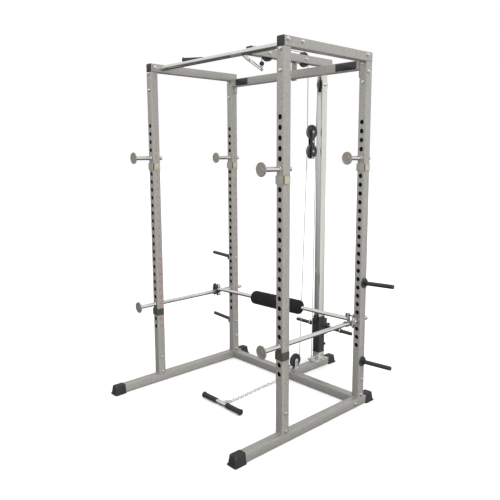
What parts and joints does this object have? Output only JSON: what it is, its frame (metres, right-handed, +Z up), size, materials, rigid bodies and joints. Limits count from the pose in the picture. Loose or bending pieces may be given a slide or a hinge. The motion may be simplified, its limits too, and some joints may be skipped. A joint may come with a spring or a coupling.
{
  "type": "power cage",
  "caption": "Silver home power cage with plate-loaded lat and low-row tower, hooks, safety bars, leg roller, lat bar and row handle.",
  "frame": {"origin": "on the floor, in the middle of the whole footprint", "axes": "+X to the cage's right as its user steps in, +Y to the rear where the tower stands, +Z up"},
  "size_m": [1.6202, 1.494, 2.1821],
  "materials": {
    "silver_paint": "satin",
    "chrome": "gloss",
    "black_rubber": "matte",
    "black_plastic": "satin",
    "black_paint": "satin",
    "black_foam": "matte",
    "zinc_steel": "brushed",
    "steel_cable": "brushed"
  },
  "bodies": {
    "frame": {"base_tube_left": "silver_paint", "base_tube_right": "silver_paint", "rear_base_crossmember": "silver_paint", "tower_base_tube": "silver_paint", "foot_front_left": "black_rubber", "foot_front_right": "black_rubber", "foot_rear_left": "black_rubber", "foot_rear_right": "black_rubber", "foot_tower": "black_rubber", "upright_front_left": "silver_paint", "upright_rear_left": "silver_paint", "upright_front_right": "silver_paint", "upright_rear_right": "silver_paint", "top_side_tube_left": "silver_paint", "top_side_tube_right": "silver_paint", "top_cap_left": "black_plastic", "top_cap_right": "black_plastic", "rear_top_crossmember": "silver_paint", "pullup_bar": "chrome", "lat_arm": "silver_paint", "tower_tube": "chrome", "arm_bracket": "silver_paint", "tower_base_bracket": "silver_paint", "low_pulley_bracket": "zinc_steel", "plate_peg_left_upper": "black_paint", "plate_peg_left_lower": "black_paint", "plate_peg_right_upper": "black_paint", "plate_peg_right_lower": "black_paint", "upper_cable": "steel_cable", "lower_cable": "steel_cable"},
    "hook_front_left": {"j_hook_front_left": "chrome"},
    "hook_rear_left": {"j_hook_rear_left": "chrome"},
    "hook_front_right": {"j_hook_front_right": "chrome"},
    "hook_rear_right": {"j_hook_rear_right": "chrome"},
    "safety_left": {"safety_bar_left": "chrome"},
    "safety_right": {"safety_bar_right": "chrome"},
    "leg_roller": {"leg_roller_frame": "chrome"},
    "foam": {"foam_roller": "black_foam"},
    "lat_front_pulley_body": {"lat_front_pulley": "black_plastic"},
    "lat_rear_pulley_body": {"lat_rear_pulley": "black_plastic"},
    "tower_top_pulley_body": {"tower_top_pulley": "black_plastic"},
    "low_pulley_body": {"low_pulley": "black_plastic"},
    "low_guide_roller_body": {"low_guide_roller": "black_plastic"},
    "row_handle_set": {"row_handle": "chrome", "row_grip_left": "black_rubber", "row_grip_right": "black_rubber", "row_chain": "zinc_steel", "row_carabiner": "zinc_steel", "row_cable_stop": "black_rubber"},
    "float_block": {"floating_block": "black_paint"},
    "float_wheel_upper_body": {"float_wheel_upper": "black_plastic"},
    "float_wheel_lower_body": {"float_wheel_lower": "black_plastic"},
    "weight_carriage": {"carriage": "black_paint"},
    "lat_bar_set": {"lat_bar": "chrome", "lat_grip_left": "black_rubber", "lat_grip_right": "black_rubber", "lat_carabiner": "zinc_steel", "lat_cable_stop": "black_rubber"},
    "collar_left": {"spring_collar_left": "zinc_steel"},
    "collar_right": {"spring_collar_right": "zinc_steel"}
  },
  "joints": [
    {"name": "hook_front_left_pull", "type": "slide", "parent": "frame", "child": "hook_front_left", "axis": [0, -1, 0], "range_m": [0, 0.09]},
    {"name": "hook_rear_left_pull", "type": "slide", "parent": "frame", "child": "hook_rear_left", "axis": [0, -1, 0], "range_m": [0, 0.09]},
    {"name": "hook_front_right_pull", "type": "slide", "parent": "frame", "child": "hook_front_right", "axis": [0, -1, 0], "range_m": [0, 0.09]},
    {"name": "hook_rear_right_pull", "type": "slide", "parent": "frame", "child": "hook_rear_right", "axis": [0, -1, 0], "range_m": [0, 0.09]},
    {"name": "safety_left_pull", "type": "slide", "parent": "frame", "child": "safety_left", "axis": [0, -1, 0], "range_m": [0, 0.12]},
    {"name": "safety_right_pull", "type": "slide", "parent": "frame", "child": "safety_right", "axis": [0, -1, 0], "range_m": [0, 0.12]},
    {"name": "roller_slide", "type": "slide", "parent": "frame", "child": "leg_roller", "axis": [0, -1, 0], "range_m": [-0.01, 0.43]},
    {"name": "foam_spin", "type": "hinge", "parent": "leg_roller", "child": "foam", "pos_m": [0, 0.154, 0.56], "axis": [0.9976, 0.0698, 0], "continuous": true},
    {"name": "lat_front_pulley_spin", "type": "hinge", "parent": "frame", "child": "lat_front_pulley_body", "pos_m": [0, 0.065, 2.1346], "axis": [1, 0, 0], "continuous": true},
    {"name": "lat_rear_pulley_spin", "type": "hinge", "parent": "frame", "child": "lat_rear_pulley_body", "pos_m": [0, 0.3979, 2.1346], "axis": [1, 0, 0], "continuous": true},
    {"name": "tower_top_pulley_spin", "type": "hinge", "parent": "frame", "child": "tower_top_pulley_body", "pos_m": [0, 0.586, 1.99], "axis": [1, 0, 0], "continuous": true},
    {"name": "low_pulley_spin", "type": "hinge", "parent": "frame", "child": "low_pulley_body", "pos_m": [0, 0.339, 0.109], "axis": [1, 0, 0], "continuous": true},
    {"name": "low_guide_roller_spin", "type": "hinge", "parent": "frame", "child": "low_guide_roller_body", "pos_m": [0, 0.269, 0.077], "axis": [1, 0, 0], "continuous": true},
    {"name": "row_pull", "type": "slide", "parent": "frame", "child": "row_handle_set", "axis": [0, -1, 0], "range_m": [0, 0.9]},
    {"name": "float_drop", "type": "slide", "parent": "frame", "child": "float_block", "axis": [0, 0, -1], "range_m": [0, 0.45], "deforming": ["lower_cable"]},
    {"name": "float_wheel_upper_spin", "type": "hinge", "parent": "float_block", "child": "float_wheel_upper_body", "pos_m": [0, 0.4849, 1.675], "axis": [1, 0, 0], "continuous": true},
    {"name": "float_wheel_lower_spin", "type": "hinge", "parent": "float_block", "child": "float_wheel_lower_body", "pos_m": [0, 0.4849, 1.546], "axis": [1, 0, 0], "continuous": true},
    {"name": "carriage_lift", "type": "slide", "parent": "frame", "child": "weight_carriage", "axis": [0, 0, 1], "range_m": [0, 1.05], "deforming": ["upper_cable"]},
    {"name": "lat_bar_pull", "type": "slide", "parent": "frame", "child": "lat_bar_set", "axis": [0, 0, -1], "range_m": [0, 1.05]},
    {"name": "collar_left_slide", "type": "slide", "parent": "weight_carriage", "child": "collar_left", "axis": [-1, 0, 0], "range_m": [0, 0.15]},
    {"name": "collar_right_slide", "type": "slide", "parent": "weight_carriage", "child": "collar_right", "axis": [1, 0, 0], "range_m": [0, 0.11]}
  ],
  "couplings": [
    {"joint": "lat_bar_pull", "follows": "carriage_lift", "ratio": 1},
    {"joint": "float_drop", "follows": "row_pull", "ratio": 0.5}
  ]
}
